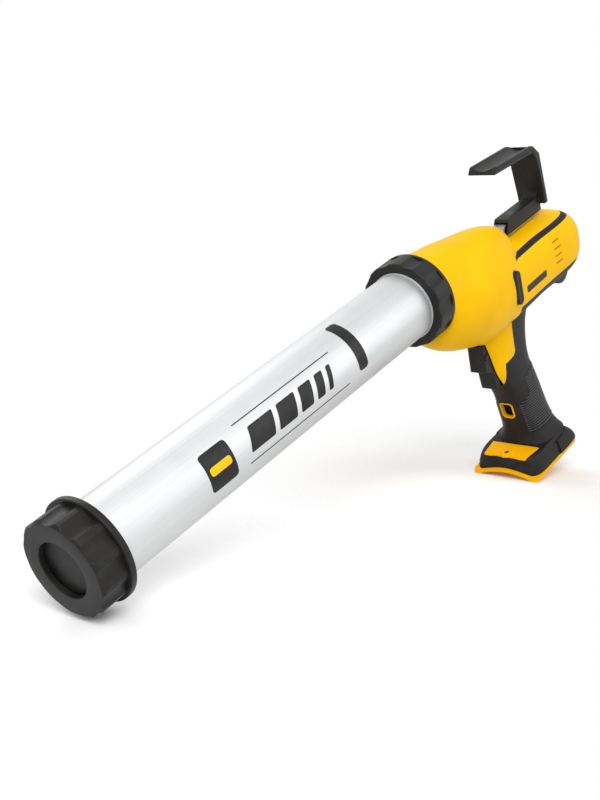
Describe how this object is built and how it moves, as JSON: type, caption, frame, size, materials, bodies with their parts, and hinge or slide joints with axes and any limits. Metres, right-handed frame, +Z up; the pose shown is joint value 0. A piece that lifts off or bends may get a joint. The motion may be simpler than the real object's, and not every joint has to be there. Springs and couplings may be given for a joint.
{
  "type": "cordless caulking tool",
  "caption": "Battery-type caulking tool with a long tube barrel, screw-on cap, motor-driven toothed plunger rod with a pull hook, pistol grip and trigger.",
  "frame": {"origin": "centre of the nozzle hole on the front cap's outer face", "axes": "+X along the barrel from the nozzle hole to the pull hook, +Y to the tool's right, +Z up"},
  "size_m": [0.64, 0.08, 0.286],
  "materials": {
    "barrel_aluminium": "satin anodised",
    "yellow_plastic": "fine matt moulding",
    "grip_black": "soft ribbed overmould",
    "trim_rubber": "soft matt",
    "black_plastic": "textured moulding",
    "seal_rubber": "smooth",
    "rod_steel": "zinc plated",
    "gear_steel": "ground",
    "screw_steel": "blackened",
    "bush_bronze": "sintered",
    "gearbox_metal": "die cast",
    "motor_metal": "dark steel",
    "board_green": "circuit board"
  },
  "bodies": {
    "body": {"barrel_mount": "black_plastic", "barrel_tube": "barrel_aluminium", "battery_rail": "yellow_plastic", "bearing_bushes": "bush_bronze", "contact_blades": "bush_bronze", "control_board": "board_green", "foot_plate": "yellow_plastic", "gearbox_case": "gearbox_metal", "housing_screws": "screw_steel", "idler_pin": "gear_steel", "left_bumper": "trim_rubber", "left_gear_plate": "gear_steel", "left_grip": "grip_black", "left_housing": "yellow_plastic", "left_stripe": "trim_rubber", "motor_can": "motor_metal", "right_bumper": "trim_rubber", "right_gear_plate": "gear_steel", "right_grip": "grip_black", "right_housing": "yellow_plastic", "right_stripe": "trim_rubber", "rod_guide": "black_plastic", "switch_module": "black_plastic", "terminal_block": "black_plastic", "window_frame": "yellow_plastic"},
    "plunger": {"rod_rack": "rod_steel", "piston_plate": "black_plastic", "piston_seal": "seal_rubber", "piston_washer": "gear_steel", "piston_screw": "screw_steel", "pull_hook": "black_plastic", "hook_screws": "screw_steel"},
    "cap": {"front_cap": "black_plastic"},
    "collar": {"collar_nut": "black_plastic"},
    "trigger_unit": {"trigger": "black_plastic", "switch_plunger": "black_plastic"},
    "lock": {"lock_button": "black_plastic"},
    "button": {"release_button": "black_plastic"},
    "dial": {"speed_dial": "black_plastic"},
    "pinion": {"rack_pinion": "gear_steel"},
    "idler": {"idler_gear": "gear_steel"},
    "cross": {"cross_shaft": "gear_steel", "cross_gear": "gear_steel", "bevel_gear": "gear_steel"},
    "output": {"bevel_pinion": "gear_steel", "output_shaft": "gear_steel"}
  },
  "joints": [
    {"name": "plunger_slide", "type": "slide", "parent": "body", "child": "plunger", "axis": [1, 0, 0], "range_m": [0, 0.355]},
    {"name": "pinion_spin", "type": "hinge", "parent": "body", "child": "pinion", "pos_m": [0.47, 0, 0.01125], "axis": [0, -1, 0], "range_deg": [0, 2720]},
    {"name": "idler_spin", "type": "hinge", "parent": "body", "child": "idler", "pos_m": [0.47741, 0.009, -0.01263], "axis": [0, -1, 0], "range_deg": [-1170, 0]},
    {"name": "cross_spin", "type": "hinge", "parent": "body", "child": "cross", "pos_m": [0.47, 0, -0.0365], "axis": [0, -1, 0], "range_deg": [0, 2720]},
    {"name": "output_spin", "type": "hinge", "parent": "body", "child": "output", "pos_m": [0.49, 0, -0.0365], "axis": [1, 0, 0], "range_deg": [-5432, 0]},
    {"name": "cap_unscrew", "type": "slide", "parent": "body", "child": "cap", "axis": [-1, 0, 0], "range_m": [0, 0.04]},
    {"name": "collar_turn", "type": "hinge", "parent": "body", "child": "collar", "pos_m": [0.388, 0, 0], "axis": [1, 0, 0], "range_deg": [0, 360]},
    {"name": "trigger_squeeze", "type": "slide", "parent": "body", "child": "trigger_unit", "axis": [1, 0, 0], "range_m": [0, 0.007], "stiffness_N_per_m": 600, "springref_m": -0.004},
    {"name": "lock_slide", "type": "slide", "parent": "trigger_unit", "child": "lock", "axis": [0, 1, 0], "range_m": [0, 0.0014]},
    {"name": "release_press", "type": "slide", "parent": "body", "child": "button", "axis": [0, 1, 0], "range_m": [0, 0.0025], "stiffness_N_per_m": 800, "springref_m": -0.002},
    {"name": "dial_turn", "type": "hinge", "parent": "body", "child": "dial", "pos_m": [0.617, 0, -0.0675], "axis": [0, 1, 0], "range_deg": [0, 270]}
  ],
  "couplings": [
    {"joint": "pinion_spin", "follows": "plunger_slide", "rad_per_m": 133.33},
    {"joint": "idler_spin", "follows": "plunger_slide", "rad_per_m": -57.143},
    {"joint": "cross_spin", "follows": "plunger_slide", "rad_per_m": 133.33},
    {"joint": "output_spin", "follows": "plunger_slide", "rad_per_m": -266.67}
  ]
}
